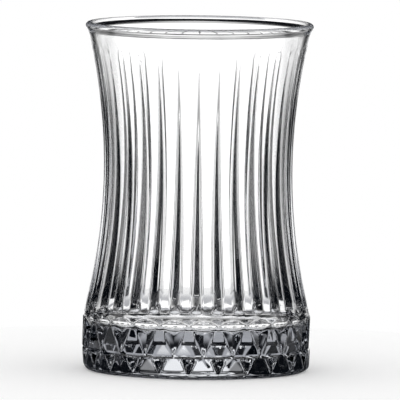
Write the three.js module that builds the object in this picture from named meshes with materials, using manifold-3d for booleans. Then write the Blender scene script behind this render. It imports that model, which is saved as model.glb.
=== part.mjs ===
// A moulded tea glass: a heavy base with a band of triangular facets and pits, a waisted wall with
// upright wedge grooves, and a plain rounded rim. The real glass is one piece, so the three meshes
// are its zones: they meet face to face on two level planes and together make the whole body.
// Millimetres, +Z up, origin at the centre of the ring that the glass stands on.
import * as THREE from "three";
import { ConvexGeometry } from "three/addons/geometries/ConvexGeometry.js";
import { mergeVertices } from "three/addons/utils/BufferGeometryUtils.js";
import Module from "manifold-3d";

// Overall form
const HEIGHT = 90; // standing ring to the top of the rim
const WAIST_HEIGHT = 52; // level of the narrowest ring
const WAIST_RADIUS = 24.5; // outside, between the grooves
const WALL = 1.8; // glass thickness at the points of the grooves
const FOOT_WALL = 2; // glass thickness at the foot of the wall

// Rim
const RIM_RADIUS = 29.5; // outermost ring
const RIM_THICKNESS = 2.15;
const RIM_CROWN = 1.1; // rounded top, above the outermost ring
const RIM_HEIGHT = 6; // plain zone between the points of the grooves and the top
const LIP = 0.35; // how far the rim stands out from the sweep of the wall
const LIP_HEIGHT = 1.6; // height over which the wall thickens to the rim

// Grooves
const GROOVE_COUNT = 32;
const GROOVE_WIDTH = 3.6; // at the foot of the wall
const GROOVE_TIP_WIDTH = 0.2; // at the points
const GROOVE_DEPTH = 0.9; // at the foot of the wall, from nothing at the points

// Base
const BASE_HEIGHT = 17; // standing ring to the shelf that the grooves end on
const FLOOR_DISH = 4.8; // depth of the cup's floor below that shelf
const FLOOR_FILLET = 1.5; // corner between floor and bore
const SHOULDER_HEIGHT = 2.9; // plain shoulder between the facets and the shelf
const BAND_RADIUS = 29.6; // crest of the facet band
const BAND_CREST_HEIGHT = 6; // level of that crest
const BAND_TOP_INSET = 0.15; // how far the top corners of the facets lie inside the crest
const HEEL_HEIGHT = 1.7; // level of the bottom corners of the facets
const HEEL_INSET = 0.3; // how far those corners lie inside the crest
const HEEL_ROUNDING = 2; // from those corners in to the standing ring
const FACET_COUNT = 24;
const STANDING_RING_WIDTH = 5;
const PUNT_DEPTH = 1.6; // hollow under the base, inside the standing ring

// Pits in the facets, each with three sloping sides
const PIT_DEPTH = 0.7; // in the facets that point down to the crest
const PIT_DROP = 2.4; // from the top corners of the facets down to its deepest point
const PIT_MOUTH = 0.95; // share of the facet that the pit takes
const LOW_PIT_DEPTH = 1.1; // in the facets that point down from the crest
const LOW_PIT_WIDTH = 4; // of its upper edge
const LOW_PIT_HEIGHT = 3.5; // from its upper edge to its lower corner
const LOW_PIT_DROP = 0.6; // from the crest down to its upper edge
const LOW_PIT_POINT = 0.4; // from its upper edge down to its deepest point

// Facets of the round faces
const SEGMENTS_PER_GROOVE = 4; // the middle and both edges of a groove, and the panel beside it
const SEGMENTS_PER_FACET = 4;
const WALL_ROWS = 9;
const RIM_ROWS = 2;
const LIP_ROWS = 3;
const CROWN_ROWS = 6;
const ROUNDING_ROWS = 3;
const CUT_OVERSHOOT = 2; // how far a cutting solid runs past the face that it opens
const PIT_REACH = 2; // how many times a pit's own depth its cutting pyramid is high

// Levels and radii that follow from the sizes above
const grooveTip = HEIGHT - RIM_HEIGHT;
const rimLevel = HEIGHT - RIM_CROWN;
const lipLevel = rimLevel - LIP_HEIGHT;
const floorLevel = BASE_HEIGHT - FLOOR_DISH;
const bandTop = BASE_HEIGHT - SHOULDER_HEIGHT;
const bandTopRadius = BAND_RADIUS - BAND_TOP_INSET;
const heelRadius = BAND_RADIUS - HEEL_INSET;
const standingRadius = heelRadius - HEEL_ROUNDING;
const puntRadius = standingRadius - STANDING_RING_WIDTH;
const groovePitch = (2 * Math.PI) / GROOVE_COUNT;
const facetPitch = (2 * Math.PI) / FACET_COUNT;
const facetTurn = groovePitch; // a facet corner stands under the groove beside the front one
const facetHalf = facetPitch / 2;

const wasm = await Module();
wasm.setup();

const { lerp } = THREE.MathUtils;

// Evenly spaced values from one end to the other, both included.
function spread(from, to, steps) {
  return Array.from({ length: steps + 1 }, (_, i) => from + ((to - from) * i) / steps);
}

// Share of the way from the plain wall to the full rim at a level.
function lipShare(z) {
  return THREE.MathUtils.smoothstep(z, lipLevel, rimLevel);
}

// Outer radius of the plain wall: two parabolas that meet upright at the waist, and the lip.
function outerRadius(z) {
  const [endZ, endRadius] =
    z > WAIST_HEIGHT ? [rimLevel, RIM_RADIUS - LIP] : [bandTop, bandTopRadius];
  const share = (z - WAIST_HEIGHT) / (endZ - WAIST_HEIGHT);
  return WAIST_RADIUS + (endRadius - WAIST_RADIUS) * share ** 2 + LIP * lipShare(z);
}

// Radius of the bore without the corner at the floor: it follows the outside.
function plainBore(z) {
  const down = Math.max(0, (grooveTip - z) / (grooveTip - BASE_HEIGHT));
  const wall = lerp(WALL, FOOT_WALL, down ** 2);
  return outerRadius(z) - lerp(wall, RIM_THICKNESS, lipShare(z));
}

// Radius of the bore, with the rounded corner at the floor.
function boreRadius(z) {
  const below = floorLevel + FLOOR_FILLET - z;
  if (below <= 0) return plainBore(z);
  const centre = plainBore(floorLevel + FLOOR_FILLET) - FLOOR_FILLET;
  return centre + Math.sqrt(Math.max(0, FLOOR_FILLET ** 2 - below ** 2));
}

// Radius and angle of a point on the grooved outside of the wall.
function grooved(radius, z, column) {
  const share = (grooveTip - z) / (grooveTip - BASE_HEIGHT);
  const edge = lerp(GROOVE_TIP_WIDTH, GROOVE_WIDTH, share) / 2 / radius;
  const offset = [0, edge, groovePitch / 2, groovePitch - edge][column % SEGMENTS_PER_GROOVE];
  const depth = offset === 0 ? GROOVE_DEPTH * share : 0;
  return [radius - depth, Math.floor(column / SEGMENTS_PER_GROOVE) * groovePitch + offset];
}

// A profile of [radius, level] pairs turned about +Z. Angles start at the front, -Y, towards +X.
// The first rows of the profile can be pressed, which gives their points a new radius and angle.
function turned(profile, segments, pressedRows = 0, pressed = null) {
  const points = profile.map(([radius, level]) => new THREE.Vector2(radius, level));
  const geometry = new THREE.LatheGeometry(points, segments);
  const position = geometry.getAttribute("position");
  for (let i = 0; i < position.count; i++) {
    const row = (i % points.length) % (points.length - 1);
    if (row >= pressedRows) continue;
    const column = Math.floor(i / points.length);
    const [radius, angle] = pressed(points[row].x, points[row].y, column);
    position.setX(i, radius * Math.sin(angle));
    position.setZ(i, radius * Math.cos(angle));
  }
  return geometry.rotateX(Math.PI / 2);
}

// A closed mesh as a solid that can be cut.
function solidOf(geometry) {
  const bare = geometry.clone().deleteAttribute("normal").deleteAttribute("uv");
  const merged = mergeVertices(bare, 1e-4);
  return new wasm.Manifold(
    new wasm.Mesh({
      numProp: 3,
      vertProperties: merged.getAttribute("position").array,
      triVerts: new Uint32Array(merged.index.array),
    }),
  );
}

// A solid as a mesh geometry again.
function geometryOf(solid) {
  const { vertProperties, triVerts } = solid.getMesh();
  const geometry = new THREE.BufferGeometry();
  geometry.setAttribute("position", new THREE.BufferAttribute(vertProperties, 3));
  geometry.setIndex(new THREE.BufferAttribute(triVerts, 1));
  geometry.computeVertexNormals();
  return geometry;
}

// A level ring of points, the first at an angle from the front.
function ring(radius, level, count, turn = 0) {
  return Array.from({ length: count }, (_, i) => {
    const angle = turn + (2 * Math.PI * i) / count;
    return new THREE.Vector3(radius * Math.sin(angle), -radius * Math.cos(angle), level);
  });
}

// The base's outside is convex, so its flat facets are the hull of their own corners: one ring of
// corners at the crest, and rings above and below it that stand half a facet round from the crest's.
function baseOutside() {
  const segments = FACET_COUNT * SEGMENTS_PER_FACET;
  const heel = spread(0, Math.PI / 2, ROUNDING_ROWS).slice(1);
  return new ConvexGeometry([
    ...ring(outerRadius(BASE_HEIGHT), BASE_HEIGHT, segments),
    ...ring(bandTopRadius, bandTop, FACET_COUNT, facetTurn),
    ...ring(BAND_RADIUS, BAND_CREST_HEIGHT, FACET_COUNT, facetTurn + facetHalf),
    ...ring(heelRadius, HEEL_HEIGHT, FACET_COUNT, facetTurn),
    ...heel.flatMap((angle) => {
      const radius = standingRadius + HEEL_ROUNDING * Math.cos(angle);
      return ring(radius, HEEL_HEIGHT * (1 - Math.sin(angle)), segments);
    }),
  ]);
}

// The part of the bore that lies below the shelf: the cup's floor and the corner round it.
function floorCut() {
  const rounded = spread(floorLevel, floorLevel + FLOOR_FILLET, ROUNDING_ROWS);
  const levels = [...rounded.filter((z) => z < BASE_HEIGHT), BASE_HEIGHT];
  const top = BASE_HEIGHT + CUT_OVERSHOOT;
  return turned(
    [
      [0, floorLevel],
      ...levels.map((z) => [boreRadius(z), z]),
      [boreRadius(BASE_HEIGHT), top],
      [0, top],
    ],
    FACET_COUNT * SEGMENTS_PER_FACET,
  );
}

// The hollow under the base, a shallow dome.
function puntCut() {
  const dome = spread(puntRadius, 0, ROUNDING_ROWS).map((radius) => [
    radius,
    PUNT_DEPTH * (1 - (radius / puntRadius) ** 2),
  ]);
  return turned(
    [[0, -CUT_OVERSHOOT], [puntRadius, -CUT_OVERSHOOT], ...dome],
    FACET_COUNT * SEGMENTS_PER_FACET,
  );
}

// A pit in the flat facet that faces an angle: a pyramid from its deepest point out past the corners
// of its mouth. Corners are [sideways, level] pairs, and outAt gives the facet's distance at a level.
function pitCut(angle, outAt, depth, deepest, corners) {
  const place = (side, level, sink) => {
    const out = outAt(level) - sink;
    return new THREE.Vector3(
      out * Math.sin(angle) + side * Math.cos(angle),
      side * Math.sin(angle) - out * Math.cos(angle),
      level,
    );
  };
  const point = place(0, deepest, depth);
  const ends = corners.map(([side, level]) => place(side, level, 0).lerp(point, 1 - PIT_REACH));
  return solidOf(new ConvexGeometry([point, ...ends]));
}

// The pit in the facet above the crest that points down, between two top corners.
function upperPit(angle) {
  const middle = bandTopRadius * Math.cos(facetHalf);
  const outAt = (z) =>
    THREE.MathUtils.mapLinear(z, BAND_CREST_HEIGHT, bandTop, BAND_RADIUS, middle);
  const deepest = bandTop - PIT_DROP;
  const side = PIT_MOUTH * bandTopRadius * Math.sin(facetHalf);
  const top = lerp(deepest, bandTop, PIT_MOUTH);
  const low = lerp(deepest, BAND_CREST_HEIGHT, PIT_MOUTH);
  return pitCut(angle, outAt, PIT_DEPTH, deepest, [[-side, top], [side, top], [0, low]]);
}

// The pit in the facet below the crest that points down to a bottom corner.
function lowerPit(angle) {
  const middle = BAND_RADIUS * Math.cos(facetHalf);
  const outAt = (z) =>
    THREE.MathUtils.mapLinear(z, HEEL_HEIGHT, BAND_CREST_HEIGHT, heelRadius, middle);
  const side = LOW_PIT_WIDTH / 2;
  const top = BAND_CREST_HEIGHT - LOW_PIT_DROP;
  const low = top - LOW_PIT_HEIGHT;
  const deepest = top - LOW_PIT_POINT;
  return pitCut(angle, outAt, LOW_PIT_DEPTH, deepest, [[-side, top], [side, top], [0, low]]);
}

// The faceted base, with the cup's floor above, the punt below and the pits round it.
function base() {
  let body = solidOf(baseOutside()).subtract(solidOf(floorCut())).subtract(solidOf(puntCut()));
  for (const angle of spread(facetTurn, facetTurn + 2 * Math.PI, FACET_COUNT).slice(1)) {
    body = body.subtract(lowerPit(angle)).subtract(upperPit(angle + facetHalf));
  }
  return geometryOf(body);
}

// The waisted wall, with grooves on its outside only.
function wall() {
  const outside = spread(BASE_HEIGHT, grooveTip, WALL_ROWS).map((z) => [outerRadius(z), z]);
  const bore = spread(grooveTip, BASE_HEIGHT, WALL_ROWS).map((z) => [boreRadius(z), z]);
  const profile = [...outside, ...bore, outside[0]];
  return turned(profile, GROOVE_COUNT * SEGMENTS_PER_GROOVE, outside.length, grooved);
}

// The plain rim, with its lip and its rounded top.
function rim() {
  const plain = spread(grooveTip, lipLevel, RIM_ROWS);
  const levels = [...plain, ...spread(lipLevel, rimLevel, LIP_ROWS).slice(1)];
  const outside = levels.map((z) => [outerRadius(z), z]);
  const bore = levels.map((z) => [boreRadius(z), z]).reverse();
  const crown = spread(0, Math.PI, CROWN_ROWS).map((angle) => [
    RIM_RADIUS - (RIM_THICKNESS / 2) * (1 - Math.cos(angle)),
    rimLevel + RIM_CROWN * Math.sin(angle),
  ]);
  const profile = [...outside, ...crown.slice(1, -1), ...bore, outside[0]];
  return turned(profile, GROOVE_COUNT * SEGMENTS_PER_GROOVE);
}

// Colourless soda-lime glass, fire-polished.
function clearGlass() {
  return new THREE.MeshStandardMaterial({
    color: 0xeef2f2,
    roughness: 0.04,
    metalness: 0,
    transparent: true,
    opacity: 0.35,
  });
}

const teaGlass = new THREE.Group();
for (const [name, shape] of Object.entries({ faceted_base: base, grooved_wall: wall, rim })) {
  const mesh = new THREE.Mesh(shape(), clearGlass());
  mesh.name = name;
  teaGlass.add(mesh);
}

export default teaGlass;
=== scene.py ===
"""Dresses the tea glass: one continuous body of clear moulded glass, standing on a pale floor.

The body is turned from one profile and then shaped as its mould does: grooves go into its waisted
wall and a band of triangular facets into its heavy base. Sizes in the classes are millimetres, and
the meshes are in metres in the frame's own axes: +Z up, the viewer at -Y, angles from the front
towards +X.
"""

import logging
import math
from dataclasses import dataclass, field
from enum import Enum
from typing import Any, Union

import bmesh
import bpy
from mathutils import Matrix, Vector


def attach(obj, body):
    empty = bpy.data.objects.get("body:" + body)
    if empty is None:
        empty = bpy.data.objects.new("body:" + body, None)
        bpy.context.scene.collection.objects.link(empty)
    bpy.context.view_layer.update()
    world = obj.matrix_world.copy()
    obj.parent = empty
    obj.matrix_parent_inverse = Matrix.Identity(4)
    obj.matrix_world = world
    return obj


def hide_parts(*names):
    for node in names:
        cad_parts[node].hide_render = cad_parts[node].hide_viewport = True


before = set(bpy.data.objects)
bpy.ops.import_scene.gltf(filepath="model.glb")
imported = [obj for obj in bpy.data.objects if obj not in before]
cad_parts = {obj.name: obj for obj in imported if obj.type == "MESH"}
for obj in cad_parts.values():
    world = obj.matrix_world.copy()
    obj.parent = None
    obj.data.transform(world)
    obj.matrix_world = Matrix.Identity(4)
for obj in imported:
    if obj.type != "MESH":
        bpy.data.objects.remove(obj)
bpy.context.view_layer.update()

LOG = logging.getLogger("tea_glass")
MM = 0.001
MERGE_MM = 0.001
# Sockets of a colour mix node, which share their names with its other kinds.
MIX_SHARE, MIX_FIRST, MIX_SECOND, MIX_RESULT = 0, 6, 7, 2
Socket = Union[bpy.types.NodeSocket, float, tuple]


def linear(colour: str) -> tuple[float, float, float, float]:
    """Turns an sRGB hex colour into the linear one that a socket takes.

    Args:
        colour: Six hex digits after a hash sign.

    Returns:
        Linear red, green, blue and an alpha of 1.
    """
    parts = [int(colour[i : i + 2], 16) / 255 for i in (1, 3, 5)]
    red, green, blue = (c / 12.92 if c <= 0.04045 else ((c + 0.055) / 1.055) ** 2.4 for c in parts)
    return red, green, blue, 1.0


def add_node(
    tree: bpy.types.NodeTree, kind: str, inputs: dict[Any, Socket], **settings: Any
) -> bpy.types.Node:
    """Adds one node with its settings, values and links.

    Args:
        tree: The tree that gets the node.
        kind: The node's Blender type name.
        inputs: What each input takes, by name or number: an output socket is linked, a value is set.
        **settings: Properties of the node itself.

    Returns:
        The new node.
    """
    node = tree.nodes.new(kind)
    for name, value in settings.items():
        setattr(node, name, value)
    for key, value in inputs.items():
        if isinstance(value, bpy.types.NodeSocket):
            tree.links.new(value, node.inputs[key])
        else:
            node.inputs[key].default_value = value
    return node


def mix(low: float, high: float, share: float) -> float:
    """Returns the value a share of the way from low to high."""
    return low + (high - low) * share


def spread(start: float, end: float, steps: int) -> list[float]:
    """Returns evenly spaced values from start to end, both included."""
    return [mix(start, end, i / steps) for i in range(steps + 1)]


def ease(share: float) -> float:
    """Returns a smooth step of a share that is held between 0 and 1."""
    held = min(1.0, max(0.0, share))
    return held * held * (3 - 2 * held)


class Zone(Enum):
    """The surface of the glass that a ring of its profile belongs to."""

    PLAIN = 0
    HEEL = 1
    BAND = 2
    GROOVED = 3


@dataclass(frozen=True)
class Ring:
    """One ring of the profile, before the mould shapes it.

    Attributes:
        radius: Distance from the axis.
        level: Height above the table.
        zone: Which surface of the mould shapes the ring.
    """

    radius: float
    level: float
    zone: Zone = Zone.PLAIN


@dataclass(frozen=True)
class Steps:
    """How many steps each stretch of the profile has, from the middle of the punt over the rim.

    Attributes:
        punt: The hollow under the base.
        standing: The ring that the glass stands on.
        heel: The rounded heel.
        low_facets: The facets below the crest.
        notch: Each side of the notch on the crest.
        high_facets: The facets above the crest.
        shoulder: From the facets to the foot of the grooves.
        run_out: The rounded step at the foot of the grooves.
        grooves: The grooves.
        neck: From the points of the grooves to the lip.
        lip: The thickening to the rim, on each side.
        crown: The rounded top of the rim.
        bore: The bore.
        fillet: The corner round the cup's floor.
        floor: The cup's floor.
    """

    punt: int = 8
    standing: int = 3
    heel: int = 6
    low_facets: int = 11
    notch: int = 2
    high_facets: int = 23
    shoulder: int = 8
    run_out: int = 5
    grooves: int = 34
    neck: int = 3
    lip: int = 8
    crown: int = 12
    bore: int = 22
    fillet: int = 8
    floor: int = 5


@dataclass(frozen=True)
class ClearGlass:
    """Colourless soda-lime glass, shaped in an iron mould and fire-polished.

    Attributes:
        tint: What a long way through the glass leaves of white light.
        density: Strength of that tint for each metre.
        ior: Index of refraction of soda-lime glass.
        polish: Roughness of the fire-polished skin.
        dull: Roughness where the mould chilled it most.
        wave_mm: Width of the slow waves that the mould leaves.
        wave_depth_mm: Height of those waves.
        wave_detail: How many finer waves lie on the slow ones.
        polish_wave: Level of the waves, from 0 to 1, below which the skin is polished.
        dull_wave: Level of the waves above which it is dull.
    """

    tint: str = "#eff0f2"
    density: float = 45.0
    ior: float = 1.52
    polish: float = 0.004
    dull: float = 0.02
    wave_mm: float = 9.0
    wave_depth_mm: float = 0.012
    wave_detail: float = 2.0
    polish_wave: float = 0.35
    dull_wave: float = 0.75

    def material(self) -> bpy.types.Material:
        """Builds the material: clear, hard gloss with a trace of mould waves.

        Returns:
            The new material.
        """
        material = bpy.data.materials.new("moulded_soda_lime_glass")
        material.use_nodes = True
        tree = material.node_tree
        tree.nodes.clear()
        place = add_node(tree, "ShaderNodeTexCoord", {})
        # Slow waves bend what shows through the wall a little, as in all moulded glass.
        waves = add_node(
            tree,
            "ShaderNodeTexNoise",
            {"Vector": place.outputs["Object"], "Scale": 1 / (self.wave_mm * MM)}
            | {"Detail": self.wave_detail},
        )
        bump = add_node(
            tree,
            "ShaderNodeBump",
            {"Height": waves.outputs[0], "Distance": self.wave_depth_mm * MM, "Strength": 1.0},
        )
        skin = add_node(
            tree,
            "ShaderNodeMapRange",
            {"Value": waves.outputs[0], "From Min": self.polish_wave, "From Max": self.dull_wave}
            | {"To Min": self.polish, "To Max": self.dull},
        )
        surface = add_node(
            tree,
            "ShaderNodeBsdfPrincipled",
            {
                "Base Color": linear("#ffffff"),
                "Roughness": skin.outputs[0],
                "IOR": self.ior,
                "Transmission Weight": 1.0,
                "Normal": bump.outputs[0],
            },
        )
        # The thick base swallows a little light, so it is greyer than the wall.
        depth = add_node(
            tree, "ShaderNodeVolumeAbsorption", {"Color": linear(self.tint), "Density": self.density}
        )
        add_node(
            tree,
            "ShaderNodeOutputMaterial",
            {"Surface": surface.outputs[0], "Volume": depth.outputs[0]},
        )
        return material


@dataclass(frozen=True)
class Grooves:
    """Upright wedge grooves round the wall that run to points under the rim.

    Attributes:
        count: Number of grooves round the glass.
        width: Width at the foot.
        tip_width: Width at the points.
        depth: Depth at the foot, from nothing at the points.
        foot: Level of the shelf that they end on.
        tip: Level of their points.
        run_out: Height of the rounded step at the foot.
        cusp: How the sides fall to the middle: 1 is straight, more is rounded at the edges.
        cut_share: Share of the steps between two grooves that lies on each side of a groove.
    """

    count: int = 32
    width: float = 3.6
    tip_width: float = 0.2
    depth: float = 0.9
    foot: float = 17.0
    tip: float = 84.0
    run_out: float = 0.8
    cusp: float = 1.3
    cut_share: float = 4 / 18

    @property
    def pitch(self) -> float:
        """Angle from one groove to the next."""
        return math.tau / self.count

    def press(self, radius: float, angle: float, level: float) -> tuple[float, float]:
        """Moves a point of the plain wall on to the grooved one.

        Args:
            radius: Distance of the plain wall from the axis.
            angle: Angle from the front.
            level: Height above the table.

        Returns:
            The new distance and angle. Points gather at a groove, so that its edges are sharp.
        """
        share = max(0.0, (self.tip - level) / (self.tip - self.foot))
        edge = mix(self.tip_width, self.width, share) / 2 / (radius * self.pitch)
        nearest = round(angle / self.pitch)
        off = angle / self.pitch - nearest
        side = abs(off)
        if side < self.cut_share:
            moved = edge * side / self.cut_share
            cut = (1 - side / self.cut_share) ** self.cusp
        else:
            moved = mix(edge, 0.5, (side - self.cut_share) / (0.5 - self.cut_share))
            cut = 0.0
        step = ease((level - self.foot) / self.run_out)
        depth = self.depth * share * step * cut
        return radius - depth, (nearest + math.copysign(moved, off)) * self.pitch


@dataclass(frozen=True)
class FacetBand:
    """A band of flat triangles round the base, above and below a crest.

    Attributes:
        count: Number of facets round the glass.
        turn: Angle of the first upper corner from the front.
        crest_radius: Radius of the corners on the crest.
        crest: Level of the crest.
        top: Level of the upper corners.
        top_inset: How far the upper corners lie inside the crest.
        heel: Level of the lower corners.
        heel_inset: How far the lower corners lie inside the crest.
        pit: Level of the deepest point of the pit in each upper gap.
        pit_depth: Depth of that pit.
        low_pit: Level of the deepest point of the pit under each upper facet.
        low_pit_depth: Depth of that pit.
        low_pit_top: Level of its upper edge.
        low_pit_end: Level of its lower corner.
        low_pit_width: Width of its upper edge.
        notch_depth: Depth of the fine notch round the crest.
        notch_half: Half the height of that notch.
    """

    count: int = 24
    turn: float = math.tau / 32
    crest_radius: float = 29.6
    crest: float = 6.0
    top: float = 14.1
    top_inset: float = 0.15
    heel: float = 1.7
    heel_inset: float = 0.3
    pit: float = 11.7
    pit_depth: float = 0.7
    low_pit: float = 5.0
    low_pit_depth: float = 1.1
    low_pit_top: float = 5.4
    low_pit_end: float = 1.9
    low_pit_width: float = 4.0
    notch_depth: float = 0.25
    notch_half: float = 0.5

    @property
    def half(self) -> float:
        """Angle from the middle of a facet to its corner."""
        return math.pi / self.count

    @property
    def top_radius(self) -> float:
        """Radius of the upper corners."""
        return self.crest_radius - self.top_inset

    @property
    def heel_radius(self) -> float:
        """Radius of the lower corners."""
        return self.crest_radius - self.heel_inset

    def off_corner(self, angle: float) -> float:
        """Returns the angle to the nearest upper corner, never negative."""
        return abs((angle - self.turn + self.half) % (2 * self.half) - self.half)

    def radius(self, angle: float, level: float) -> float:
        """Finds the outer radius of the faceted band.

        Args:
            angle: Angle from the front.
            level: Height above the table. Above the band the gap facets run on upwards.

        Returns:
            Distance from the axis.
        """
        beside = self.off_corner(angle)
        gap = self.half - beside
        above = level >= self.crest
        end_level = self.top if above else self.heel
        end_radius = self.top_radius if above else self.heel_radius
        share = (level - self.crest) / (end_level - self.crest)
        kite = mix(self.crest_radius * math.cos(self.half), end_radius, share) / math.cos(beside)
        flat = mix(self.crest_radius, end_radius * math.cos(self.half), share) / math.cos(gap)
        return kite if gap / self.half > share else flat

    def pit_cut(self, angle: float, level: float) -> float:
        """Finds how deep the pits go into the flat facets: each has three sloping sides.

        Args:
            angle: Angle from the front.
            level: Height above the table.

        Returns:
            The depth, 0 between the pits.
        """
        notch = self.notch_depth * max(0.0, 1 - abs(level - self.crest) / self.notch_half)
        return max(notch, self.facet_pit(angle, level))

    def facet_pit(self, angle: float, level: float) -> float:
        """Finds the depth of the pit in a facet.

        Args:
            angle: Angle from the front.
            level: Height above the table.

        Returns:
            The depth, 0 between the pits.
        """
        beside = self.off_corner(angle)
        if level >= self.crest:
            side = (self.half - beside) / self.half
            share = (level - self.crest) / (self.top - self.crest)
            deep = (self.pit - self.crest) / (self.top - self.crest)
            return self.pit_depth * max(0.0, min((1 - share) / (1 - deep), (share - side) / deep))
        side = beside * self.crest_radius / (self.low_pit_width / 2)
        share = (level - self.low_pit_end) / (self.low_pit_top - self.low_pit_end)
        deep = (self.low_pit - self.low_pit_end) / (self.low_pit_top - self.low_pit_end)
        return self.low_pit_depth * max(0.0, min((1 - share) / (1 - deep), (share - side) / deep))


@dataclass
class GlassBody:
    """The whole glass: base, grooved wall and rim in one skin.

    Attributes:
        height: Table to the top of the rim.
        waist_level: Level of the narrowest ring.
        waist_radius: Outside radius there.
        wall: Thickness of the wall at the points of the grooves.
        foot_wall: Thickness of the wall at the foot.
        rim_radius: Outermost ring of the rim.
        rim_thickness: Thickness of the rim.
        rim_crown: Height of the rounded top.
        lip: How far the rim stands out from the sweep of the wall.
        lip_height: Height over which the wall thickens to the rim.
        floor: Level of the cup's floor.
        floor_fillet: Radius of the corner round the floor.
        heel_rounding: Width of the rounded heel.
        standing_width: Width of the ring that the glass stands on.
        punt_depth: Depth of the hollow under the base.
        repeats: How often grooves and facets repeat together round the glass.
        columns: Steps round one repeat, whole numbers for each groove and half facet.
        crisp_deg: Edges that turn by more than this stay crisp, and the others are smooth.
        steps: How finely the profile is divided.
        grooves: The wedge grooves of the wall.
        band: The facets of the base.
        finish: The glass itself.
    """

    height: float = 90.0
    waist_level: float = 52.0
    waist_radius: float = 24.5
    wall: float = 1.8
    foot_wall: float = 2.0
    rim_radius: float = 29.5
    rim_thickness: float = 2.15
    rim_crown: float = 1.1
    lip: float = 0.35
    lip_height: float = 1.6
    floor: float = 12.2
    floor_fillet: float = 1.5
    heel_rounding: float = 2.0
    standing_width: float = 5.0
    punt_depth: float = 1.6
    repeats: int = 8
    columns: int = 72
    crisp_deg: float = 20.0
    steps: Steps = field(default_factory=Steps)
    grooves: Grooves = field(default_factory=Grooves)
    band: FacetBand = field(default_factory=FacetBand)
    finish: ClearGlass = field(default_factory=ClearGlass)

    @property
    def rim_level(self) -> float:
        """Level of the rim's outermost ring."""
        return self.height - self.rim_crown

    @property
    def standing_radius(self) -> float:
        """Outer radius of the ring that the glass stands on."""
        return self.band.heel_radius - self.heel_rounding

    def outer_radius(self, level: float) -> float:
        """Finds the outside radius of the plain wall: two parabolas that meet at the waist.

        Args:
            level: Height above the table.

        Returns:
            Distance from the axis.
        """
        end, radius = (self.rim_level, self.rim_radius - self.lip)
        if level <= self.waist_level:
            end, radius = (self.band.top, self.band.top_radius)
        share = (level - self.waist_level) / (end - self.waist_level)
        return mix(self.waist_radius, radius, share**2) + self.lip * self.lip_share(level)

    def lip_share(self, level: float) -> float:
        """Returns how far the wall has thickened to the rim at a level, from 0 to 1."""
        return ease((level - self.rim_level) / self.lip_height + 1)

    def plain_bore(self, level: float) -> float:
        """Finds the bore's radius without the corner at its floor: it follows the outside.

        Args:
            level: Height above the table.

        Returns:
            Distance from the axis.
        """
        tip, foot = self.grooves.tip, self.grooves.foot
        down = max(0.0, (tip - level) / (tip - foot))
        thickness = mix(self.wall, self.foot_wall, down**2)
        thickness = mix(thickness, self.rim_thickness, self.lip_share(level))
        return self.outer_radius(level) - thickness

    def bore_radius(self, level: float) -> float:
        """Finds the bore's radius with the rounded corner at its floor.

        Args:
            level: Height above the table.

        Returns:
            Distance from the axis.
        """
        start = self.floor + self.floor_fillet
        if level >= start:
            return self.plain_bore(level)
        across = math.sqrt(max(0.0, self.floor_fillet**2 - (start - level) ** 2))
        return self.plain_bore(start) - self.floor_fillet + across

    def underside(self) -> list[Ring]:
        """Lists the rings from the middle of the punt out to the bottom of the heel.

        Returns:
            The rings, from the axis outwards.
        """
        steps = self.steps
        outer = self.standing_radius
        inner = outer - self.standing_width
        radii = spread(0, inner, steps.punt)
        punt = [Ring(r, self.punt_depth * (1 - (r / inner) ** 2)) for r in radii]
        return punt + [Ring(r, 0.0) for r in spread(inner, outer, steps.standing)[1:-1]]

    def outside(self) -> list[Ring]:
        """Lists the rings of the outside, from the heel up to the top of the rim.

        Returns:
            The rings, from the table upwards.
        """
        band, grooves, steps = self.band, self.grooves, self.steps
        rings = []
        for angle in spread(math.pi / 2, 0, steps.heel)[:-1]:
            radius = self.standing_radius + self.heel_rounding * math.cos(angle)
            rings.append(Ring(radius, band.heel * (1 - math.sin(angle)), Zone.HEEL))
        for start, end, count in (
            (band.heel, band.crest - band.notch_half, steps.low_facets),
            (band.crest - band.notch_half, band.crest, steps.notch),
            (band.crest, band.crest + band.notch_half, steps.notch),
            (band.crest + band.notch_half, band.top, steps.high_facets),
            (band.top, grooves.foot, steps.shoulder),
        ):
            rings += [Ring(band.crest_radius, z, Zone.BAND) for z in spread(start, end, count)[:-1]]
        shelf, neck = grooves.foot + grooves.run_out, self.rim_level - self.lip_height
        for start, end, count, zone in (
            (grooves.foot, shelf, steps.run_out, Zone.GROOVED),
            (shelf, grooves.tip, steps.grooves, Zone.GROOVED),
            (grooves.tip, neck, steps.neck, Zone.PLAIN),
            (neck, self.rim_level, steps.lip, Zone.PLAIN),
        ):
            rings += [Ring(self.outer_radius(z), z, zone) for z in spread(start, end, count)[:-1]]
        return rings

    def inside(self) -> list[Ring]:
        """Lists the rings over the rim, down the bore and in to the middle of the floor.

        Returns:
            The rings, from the rim's outermost ring to the axis.
        """
        half, steps = self.rim_thickness / 2, self.steps
        rings = []
        for angle in spread(0, math.pi, steps.crown):
            radius = self.rim_radius - half * (1 - math.cos(angle))
            rings.append(Ring(radius, self.rim_level + self.rim_crown * math.sin(angle)))
        corner = self.floor + self.floor_fillet
        neck = self.rim_level - self.lip_height
        for start, end, count in ((self.rim_level, neck, steps.lip), (neck, corner, steps.bore)):
            rings += [Ring(self.bore_radius(z), z) for z in spread(start, end, count)[1:]]
        centre = self.bore_radius(corner) - self.floor_fillet
        for angle in spread(0, math.pi / 2, steps.fillet)[1:]:
            radius = centre + self.floor_fillet * math.cos(angle)
            rings.append(Ring(radius, corner - self.floor_fillet * math.sin(angle)))
        return rings + [Ring(r, self.floor) for r in spread(centre, 0, steps.floor)[1:]]

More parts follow.
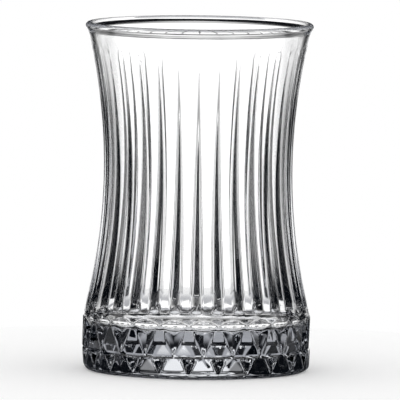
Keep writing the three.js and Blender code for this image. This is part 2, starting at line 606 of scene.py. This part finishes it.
    def press(self, ring: Ring, angle: float) -> tuple[float, float]:
        """Finds where the mould puts a point of a ring.

        Args:
            ring: The ring of the profile.
            angle: Angle from the front.

        Returns:
            The new distance from the axis, and the new angle.
        """
        band = self.band
        if ring.zone is Zone.GROOVED:
            return self.grooves.press(ring.radius, angle, ring.level)
        radius = ring.radius
        if ring.zone is Zone.BAND:
            radius = band.radius(angle, ring.level)
            if ring.level > band.top:
                radius = min(radius, self.outer_radius(ring.level))
            radius -= band.pit_cut(angle, ring.level)
        elif ring.zone is Zone.HEEL:
            flat = math.cos(band.half) / math.cos(band.half - band.off_corner(angle))
            share = (ring.radius - self.standing_radius) / self.heel_rounding
            radius *= mix(1.0, flat, share)
        return radius, angle

    def build(self) -> bpy.types.Object:
        """Turns one repeat of the profile, shapes it, repeats it all round and dresses it.

        Returns:
            The finished glass, which stands for the three CAD zones.
        """
        rings = self.underside() + self.outside() + self.inside()
        mesh = bmesh.new()
        layer = mesh.verts.layers.int.new("ring")
        verts = []
        for number, ring in enumerate(rings):
            vert = mesh.verts.new((0.0, -ring.radius * MM, ring.level * MM))
            vert[layer] = number
            verts.append(vert)
        edges = [mesh.edges.new(pair) for pair in zip(verts, verts[1:])]
        turn = math.tau / self.repeats
        bmesh.ops.spin(
            mesh,
            geom=verts + edges,
            cent=(0, 0, 0),
            axis=(0, 0, 1),
            angle=turn,
            steps=self.columns,
        )
        for vert in mesh.verts:
            ring = rings[vert[layer]]
            if ring.zone is not Zone.PLAIN:
                radius, angle = self.press(ring, math.atan2(vert.co.x, -vert.co.y))
                vert.co.x, vert.co.y = radius * math.sin(angle) * MM, -radius * math.cos(angle) * MM
        one = mesh.verts[:] + mesh.edges[:] + mesh.faces[:]
        for number in range(1, self.repeats):
            copy = bmesh.ops.duplicate(mesh, geom=one)["geom"]
            bmesh.ops.rotate(
                mesh,
                cent=(0, 0, 0),
                matrix=Matrix.Rotation(number * turn, 3, "Z"),
                verts=[item for item in copy if isinstance(item, bmesh.types.BMVert)],
            )
        bmesh.ops.remove_doubles(mesh, verts=mesh.verts, dist=MERGE_MM * MM)
        bmesh.ops.recalc_face_normals(mesh, faces=mesh.faces)
        for face in mesh.faces:
            face.smooth = True
        for edge in mesh.edges:
            edge.smooth = edge.calc_face_angle(0.0) < math.radians(self.crisp_deg)
        data = bpy.data.meshes.new("tea_glass")
        mesh.to_mesh(data)
        mesh.free()
        data.materials.append(self.finish.material())
        glass = bpy.data.objects.new("tea_glass", data)
        bpy.context.scene.collection.objects.link(glass)
        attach(glass, "root")
        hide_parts("faceted_base", "grooved_wall", "rim")
        return glass


@dataclass
class Studio:
    """The pale floor, the light and the camera.

    Attributes:
        white: Colour of the floor, the background and the soft boxes.
        flag: Colour of the dark flags between the soft boxes, which draw the edges of clear glass.
        card: Colour of the cards under the glass.
        painted_light: Colour painted in their middle as light that comes through the floor of the
            cup.
        painted_light_mm: Radius of that painted light.
        painted_shadow_and_collar: Colour of the dark ring painted on the cards as the shadow of the
            glass's heel, and of the collar.
        painted_shadow_inner_mm: Radius at which that painted shadow begins.
        painted_shadow_outer_mm: Radius at which the painted shadow starts to fade.
        painted_shadow_gone_mm: Radius at which the painted shadow has faded into the grey of the
            cards.
        fade_mm: Radius from which the cards fade to the white of the floor at their ends.
        floor_mm: Radius of the floor.
        card_mm: Length of the two cards that cross under the glass.
        card_width_mm: Width of the cards.
        collar_mm: Radius of the dark collar that hangs round the rim.
        collar_low_mm: Level of its lower edge.
        collar_high_mm: Level of its upper edge.
        tent_mm: Radius of the tent that holds boxes and flags.
        boxes: Number of soft boxes round the glass.
        box_deg: Half width of a soft box at full white.
        gap_deg: Angle from its middle at which the dark flag begins.
        box_top_deg: Elevation of its upper edge.
        edge_deg: Width of the soft edge of a box.
        top_deg: Elevation above which the overhead light is full white.
        top_edge_deg: Width of its soft edge.
        low_deg: How far below level the white strips of the sweep begin, twice as many as the boxes.
        strip_deg: Half width of a strip at full white.
        strip_gap_deg: Angle from its middle at which the dark between two strips begins.
        glow: Strength of the soft boxes, where paper white is 1.
        distance_mm: From the camera to the glass.
        field_mm: Width of the view at the glass.
        azimuth_deg: How far the camera stands to the right of the front.
        elevation_deg: How far the camera looks down.
        roll_deg: How far the photograph leans.
        aim_mm: The point that the camera looks at.
        clip_m: Nearest and furthest distance that the camera sees.
        segments: Steps round the floor, the collar and the tent.
        bounces: How often light may bend or bounce on its way through thick glass.
    """

    white: str = "#ffffff"
    flag: str = "#05070b"
    card: str = "#bcbdc1"
    painted_light: str = "#e6e7ea"
    painted_light_mm: float = 20.0
    painted_shadow_and_collar: str = "#1c1d21"
    painted_shadow_inner_mm: float = 27.0
    painted_shadow_outer_mm: float = 46.0
    painted_shadow_gone_mm: float = 68.0
    fade_mm: float = 125.0
    floor_mm: float = 120.0
    card_mm: float = 450.0
    card_width_mm: float = 70.0
    collar_mm: float = 33.0
    collar_low_mm: float = 88.65
    collar_high_mm: float = 92.0
    tent_mm: float = 3000.0
    boxes: int = 4
    box_deg: float = 5.0
    gap_deg: float = 20.0
    box_top_deg: float = 4.5
    edge_deg: float = 5.0
    top_deg: float = 42.0
    top_edge_deg: float = 15.0
    low_deg: float = 12.0
    strip_deg: float = 6.0
    strip_gap_deg: float = 18.0
    glow: float = 1.3
    distance_mm: float = 2600.0
    field_mm: float = 103.4
    azimuth_deg: float = 0.0
    elevation_deg: float = 4.7
    roll_deg: float = 0.65
    aim_mm: tuple[float, float, float] = (0.57, 0.0, 44.0)
    clip_m: tuple[float, float] = (0.1, 10.0)
    segments: int = 128
    bounces: int = 40

    def prop(
        self, name: str, mesh: bmesh.types.BMesh, material: bpy.types.Material
    ) -> bpy.types.Object:
        """Sets up a piece of the studio, which is no part of the glass.

        Args:
            name: Name of the piece.
            mesh: Its shape, which is used up.
            material: What it is made of.

        Returns:
            The piece.
        """
        data = bpy.data.meshes.new(name)
        mesh.to_mesh(data)
        mesh.free()
        data.materials.append(material)
        piece = bpy.data.objects.new(name, data)
        bpy.context.scene.collection.objects.link(piece)
        return piece

    def paper(self, name: str, colour: str) -> bpy.types.Material:
        """Makes matt paper of one colour.

        Args:
            name: Name of the paper.
            colour: Its colour.

        Returns:
            The new material.
        """
        material = bpy.data.materials.new(name)
        material.use_nodes = True
        tree = material.node_tree
        tree.nodes.clear()
        matt = add_node(tree, "ShaderNodeBsdfDiffuse", {"Color": linear(colour)})
        add_node(tree, "ShaderNodeOutputMaterial", {"Surface": matt.outputs[0]})
        return material

    def floor(self) -> bpy.types.Object:
        """Lays the pale floor, which the camera sees with the shadow of the glass on it.

        Returns:
            The floor.
        """
        disc = bmesh.new()
        radius = self.floor_mm * MM
        bmesh.ops.create_circle(disc, cap_ends=True, segments=self.segments, radius=radius)
        floor = self.prop("floor", disc, self.paper("white_paper", self.white))
        floor.visible_transmission = floor.visible_glossy = False
        return floor

    def painted_shadow_card(self) -> bpy.types.Material:
        """Makes the card under the glass: a painted shadow of its heel, with light grey painted as
        light from the cup's floor within, and grey beyond.

        Returns:
            The new material.
        """
        material = bpy.data.materials.new("card_with_painted_shadow")
        material.use_nodes = True
        tree = material.node_tree
        tree.nodes.clear()
        where = add_node(tree, "ShaderNodeTexCoord", {})
        away = add_node(
            tree, "ShaderNodeVectorMath", {0: where.outputs["Object"]}, operation="LENGTH"
        )
        # The painted shadow comes first. Painted light goes in the middle, then grey, then white at
        # the ends.
        colour = linear(self.painted_shadow_and_collar)
        for dark_mm, white_mm, paint in (
            (self.painted_shadow_inner_mm, self.painted_light_mm, self.painted_light),
            (self.painted_shadow_outer_mm, self.painted_shadow_gone_mm, self.card),
            (self.fade_mm, self.card_mm / 2, self.white),
        ):
            share = self.ramp(tree, away.outputs["Value"], dark_mm * MM, white_mm * MM)
            inputs = {MIX_SHARE: share, MIX_FIRST: colour, MIX_SECOND: linear(paint)}
            mixed = add_node(tree, "ShaderNodeMix", inputs, data_type="RGBA")
            colour = mixed.outputs[MIX_RESULT]
        matt = add_node(tree, "ShaderNodeBsdfDiffuse", {"Color": colour})
        add_node(tree, "ShaderNodeOutputMaterial", {"Surface": matt.outputs[0]})
        return material

    def table(self) -> bpy.types.Object:
        """Lays two crossed grey cards under the glass, painted with its shadow, which show in its
        base and not beside it.

        Returns:
            The cards.
        """
        cross = bmesh.new()
        across, along = self.card_width_mm / 2 * MM, self.card_mm / 2 * MM
        outline = []
        for quarter in range(4):
            turn = Matrix.Rotation(quarter * math.pi / 2, 2)
            for corner in ((along, -across), (along, across), (across, across)):
                outline.append(cross.verts.new((*(turn @ Vector(corner)), 0.0)))
        cross.faces.new(outline)
        table = self.prop("table", cross, self.painted_shadow_card())
        # Only the glass sees the cards and their painted shadow. They stand in for the shadowed
        # floor.
        table.visible_camera = table.visible_diffuse = table.visible_shadow = False
        return table

    def collar(self) -> bpy.types.Object:
        """Hangs a dark collar round the rim, which only shows through the glass of the rim.

        Returns:
            The collar.
        """
        band = bmesh.new()
        low, high = self.collar_low_mm * MM, self.collar_high_mm * MM
        bmesh.ops.create_cone(
            band,
            segments=self.segments,
            radius1=self.collar_mm * MM,
            radius2=self.collar_mm * MM,
            depth=high - low,
            matrix=Matrix.Translation((0.0, 0.0, (low + high) / 2)),
        )
        collar = self.prop("collar", band, self.paper("black_paper", self.painted_shadow_and_collar))
        collar.visible_camera = collar.visible_diffuse = collar.visible_shadow = False
        return collar

    def ramp(
        self, tree: bpy.types.NodeTree, value: bpy.types.NodeSocket, dark: float, white: float
    ) -> bpy.types.NodeSocket:
        """Adds a soft edge between dark and white.

        Args:
            tree: The tree that gets it.
            value: What the edge follows.
            dark: The value at which it is dark.
            white: The value at which it is white.

        Returns:
            The socket that gives 0 for dark to 1 for white.
        """
        inputs = {"Value": value, "From Min": dark, "From Max": white}
        node = add_node(tree, "ShaderNodeMapRange", inputs, interpolation_type="SMOOTHSTEP")
        return node.outputs[0]

    def rows(
        self,
        tree: bpy.types.NodeTree,
        angle: bpy.types.NodeSocket,
        count: int,
        degrees: tuple[float, float],
    ) -> bpy.types.NodeSocket:
        """Adds upright white rows round the glass with dark between them.

        Args:
            tree: The tree that gets them.
            angle: The angle round the glass.
            count: How many rows there are.
            degrees: Half the width of a row at full white, and where the dark begins.

        Returns:
            The socket that gives 0 for dark to 1 for white.
        """
        turns = add_node(tree, "ShaderNodeMath", {0: angle, 1: float(count)}, operation="MULTIPLY")
        wave = add_node(tree, "ShaderNodeMath", {0: turns.outputs[0]}, operation="COSINE")
        white, dark = (math.cos(math.radians(count * d)) for d in degrees)
        return self.ramp(tree, wave.outputs[0], dark, white)

    def tent_cloth(self) -> bpy.types.Material:
        """Makes the inside of the tent: soft boxes between dark flags, white above, strips below.

        Returns:
            The new material.
        """
        material = bpy.data.materials.new("soft_boxes")
        material.use_nodes = True
        tree = material.node_tree
        tree.nodes.clear()
        where = add_node(tree, "ShaderNodeTexCoord", {})
        way = add_node(
            tree, "ShaderNodeVectorMath", {0: where.outputs["Object"]}, operation="NORMALIZE"
        )
        axes = add_node(tree, "ShaderNodeSeparateXYZ", {0: way.outputs[0]})
        east, north, height = (axes.outputs[i] for i in range(3))
        compass = add_node(tree, "ShaderNodeMath", {0: north, 1: east}, operation="ARCTAN2")
        angle = compass.outputs[0]
        dark_top, box_top, dark_high, high, dark_low, low = (
            math.sin(math.radians(d))
            for d in (
                self.box_top_deg + self.edge_deg,
                self.box_top_deg,
                self.top_deg - self.top_edge_deg,
                self.top_deg,
                self.edge_deg - self.low_deg,
                -self.low_deg,
            )
        )
        sides = self.rows(tree, angle, self.boxes, (self.box_deg, self.gap_deg))
        under = self.ramp(tree, height, dark_top, box_top)
        lamp = add_node(tree, "ShaderNodeMath", {0: sides, 1: under}, operation="MULTIPLY")
        strips = self.rows(tree, angle, 2 * self.boxes, (self.strip_deg, self.strip_gap_deg))
        below = self.ramp(tree, height, dark_low, low)
        sweep = add_node(tree, "ShaderNodeMath", {0: strips, 1: below}, operation="MULTIPLY")
        ends = add_node(
            tree,
            "ShaderNodeMath",
            {0: self.ramp(tree, height, dark_high, high), 1: sweep.outputs[0]},
            operation="MAXIMUM",
        )
        bright = add_node(
            tree, "ShaderNodeMath", {0: lamp.outputs[0], 1: ends.outputs[0]}, operation="MAXIMUM"
        )
        colour = add_node(
            tree,
            "ShaderNodeMix",
            {MIX_SHARE: bright.outputs[0], MIX_FIRST: linear(self.flag)}
            | {MIX_SECOND: linear(self.white)},
            data_type="RGBA",
        )
        glow = add_node(
            tree, "ShaderNodeEmission", {"Color": colour.outputs[MIX_RESULT], "Strength": self.glow}
        )
        add_node(tree, "ShaderNodeOutputMaterial", {"Surface": glow.outputs[0]})
        return material

    def tent(self) -> bpy.types.Object:
        """Puts up the tent of soft boxes and dark flags, which only shows in the glass.

        Returns:
            The tent.
        """
        dome = bmesh.new()
        bmesh.ops.create_uvsphere(
            dome,
            u_segments=self.segments,
            v_segments=self.segments // 2,
            radius=self.tent_mm * MM,
        )
        tent = self.prop("tent", dome, self.tent_cloth())
        tent.visible_camera = tent.visible_diffuse = tent.visible_shadow = False
        return tent

    def light(self) -> bpy.types.World:
        """Builds the even white light that falls on the floor and fills the background.

        Returns:
            The world that holds it.
        """
        world = bpy.data.worlds.new("white_room")
        world.use_nodes = True
        tree = world.node_tree
        tree.nodes.clear()
        room = add_node(
            tree, "ShaderNodeBackground", {"Color": linear(self.white), "Strength": 1.0}
        )
        add_node(tree, "ShaderNodeOutputWorld", {"Surface": room.outputs[0]})
        bpy.context.scene.world = world
        return world

    def camera(self) -> bpy.types.Object:
        """Sets the camera up at the photograph's angle, far off with a long lens.

        Returns:
            The camera.
        """
        data = bpy.data.cameras.new("camera")
        data.lens = data.sensor_width * self.distance_mm / self.field_mm
        data.clip_start, data.clip_end = self.clip_m
        camera = bpy.data.objects.new("camera", data)
        bpy.context.scene.collection.objects.link(camera)
        pitch = math.radians(self.elevation_deg)
        orbit = Matrix.Rotation(math.radians(self.azimuth_deg), 4, "Z")
        upright = Matrix.Rotation(math.pi / 2 - pitch, 4, "X")
        roll = Matrix.Rotation(math.radians(self.roll_deg), 4, "Z")
        turn = orbit @ upright @ roll
        back = turn @ Vector((0.0, 0.0, self.distance_mm))
        camera.matrix_world = Matrix.Translation((Vector(self.aim_mm) + back) * MM) @ turn
        bpy.context.scene.camera = camera
        return camera

    def settings(self) -> None:
        """Sets plain colours, and enough bounces for light to find its way through thick glass."""
        scene = bpy.context.scene
        scene.view_settings.view_transform = "Standard"
        scene.cycles.max_bounces = self.bounces
        scene.cycles.transmission_bounces = self.bounces
        scene.cycles.glossy_bounces = self.bounces


def main() -> None:
    """Builds the glass and the studio, and reports each piece."""
    logging.basicConfig(level=logging.INFO, format="%(name)s: %(message)s")
    studio = Studio()
    studio.settings()
    for piece in (
        GlassBody().build(),
        studio.floor(),
        studio.table(),
        studio.collar(),
        studio.tent(),
        studio.camera(),
    ):
        count = len(piece.data.polygons) if piece.type == "MESH" else 0
        LOG.info("%s: %d faces", piece.name, count)
    LOG.info("%s: the light", studio.light().name)


if __name__ == "__main__":
    main()
